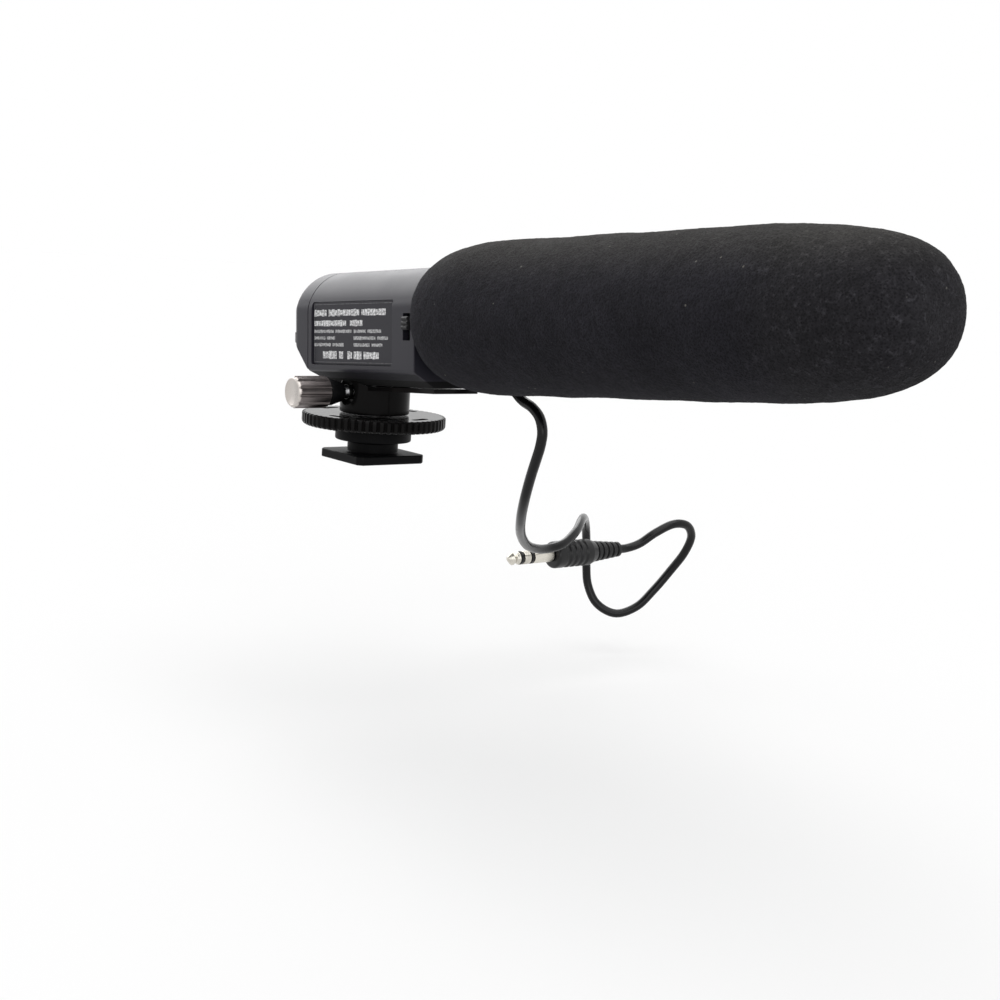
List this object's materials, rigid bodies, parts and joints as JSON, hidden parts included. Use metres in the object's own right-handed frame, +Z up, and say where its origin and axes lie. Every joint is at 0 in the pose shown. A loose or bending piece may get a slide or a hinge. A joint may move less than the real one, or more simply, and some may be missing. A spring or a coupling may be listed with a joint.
{
  "type": "on camera microphone",
  "caption": "Small shotgun microphone on a camera shoe mount, with a clamping wheel, thumb screw, foam windscreen, battery cap, slide switch and a short lead ending in a 3.5 mm plug.",
  "frame": {"origin": "centre of the shoe foot's bottom face, on the clamping wheel's axis", "axes": "+X the way the microphone faces, 4.5 degrees under its own axis, +Y to its left, +Z up out of the camera's shoe"},
  "size_m": [0.1792, 0.1197, 0.1048],
  "materials": {
    "black_plastic": "satin black moulded plastic",
    "gloss_black": "polished black plastic",
    "body_grey": "satin dark grey moulded plastic",
    "label": "bare dark label",
    "nickel": "nickel plated",
    "steel": "turned steel",
    "rubber": "soft black rubber",
    "foam": "open cell foam",
    "board": "solder mask",
    "cell_wrap": "printed sleeve, left plain",
    "brass": "turned brass"
  },
  "bodies": {
    "foot": {"shoe_foot": "black_plastic", "clamp_post": "steel"},
    "clamp_disc": {"pressure_disc": "black_plastic"},
    "clamp_wheel": {"lock_wheel": "gloss_black"},
    "head": {"mount_column": "gloss_black", "column_screw_1": "steel", "column_screw_2": "steel", "body_shell": "body_grey", "label_plate": "label", "switch_body": "black_plastic", "circuit_board": "board", "battery_cradle": "black_plastic", "battery_cell": "cell_wrap", "front_contact": "nickel", "tube_collar": "black_plastic", "interference_tube": "black_plastic", "front_grille": "black_plastic", "capsule_boot": "rubber", "capsule": "brass", "cable_grommet": "rubber", "lead_cord": "rubber", "plug_relief": "rubber", "plug_body": "rubber", "plug_sleeve": "nickel", "plug_band_1": "rubber", "plug_ring": "nickel", "plug_band_2": "rubber", "plug_tip": "nickel"},
    "screw_washer": {"thumb_washer": "nickel"},
    "thumb_screw": {"thumb_shaft": "steel", "thumb_collar": "black_plastic", "thumb_knob": "nickel"},
    "rear_cap": {"battery_cap": "body_grey", "rear_contact": "nickel"},
    "power_switch": {"switch_slider": "body_grey"},
    "windscreen": {"foam_windscreen": "foam"}
  },
  "joints": [
    {"name": "disc_lift", "type": "slide", "parent": "foot", "child": "clamp_disc", "axis": [0, 0, 1], "range_m": [0, 0.0012]},
    {"name": "wheel_turn", "type": "hinge", "parent": "clamp_disc", "child": "clamp_wheel", "pos_m": [0, 0, 0.0095], "axis": [0, 0, 1], "range_deg": [0, 540]},
    {"name": "head_swivel", "type": "hinge", "parent": "clamp_disc", "child": "head", "pos_m": [0, 0, 0.0113], "axis": [0, 0, 1], "range_deg": [-180, 180]},
    {"name": "screw_travel", "type": "slide", "parent": "head", "child": "screw_washer", "axis": [0, -1, 0], "range_m": [0, 0.00135]},
    {"name": "thumb_turn", "type": "hinge", "parent": "screw_washer", "child": "thumb_screw", "pos_m": [0, -0.018, 0.0162], "axis": [0, -1, 0], "range_deg": [0, 1080]},
    {"name": "cap_pull", "type": "slide", "parent": "head", "child": "rear_cap", "axis": [-0.9969, 0, -0.0785], "range_m": [0, 0.012]},
    {"name": "switch_slide", "type": "slide", "parent": "head", "child": "power_switch", "axis": [-0.0785, 0, 0.9969], "range_m": [-0.002, 0]},
    {"name": "windscreen_pull", "type": "slide", "parent": "head", "child": "windscreen", "axis": [0.9969, 0, 0.0785], "range_m": [0, 0.118]}
  ],
  "couplings": [
    {"joint": "wheel_turn", "follows": "disc_lift", "rad_per_m": 7854},
    {"joint": "thumb_turn", "follows": "screw_travel", "rad_per_m": 13963}
  ]
}
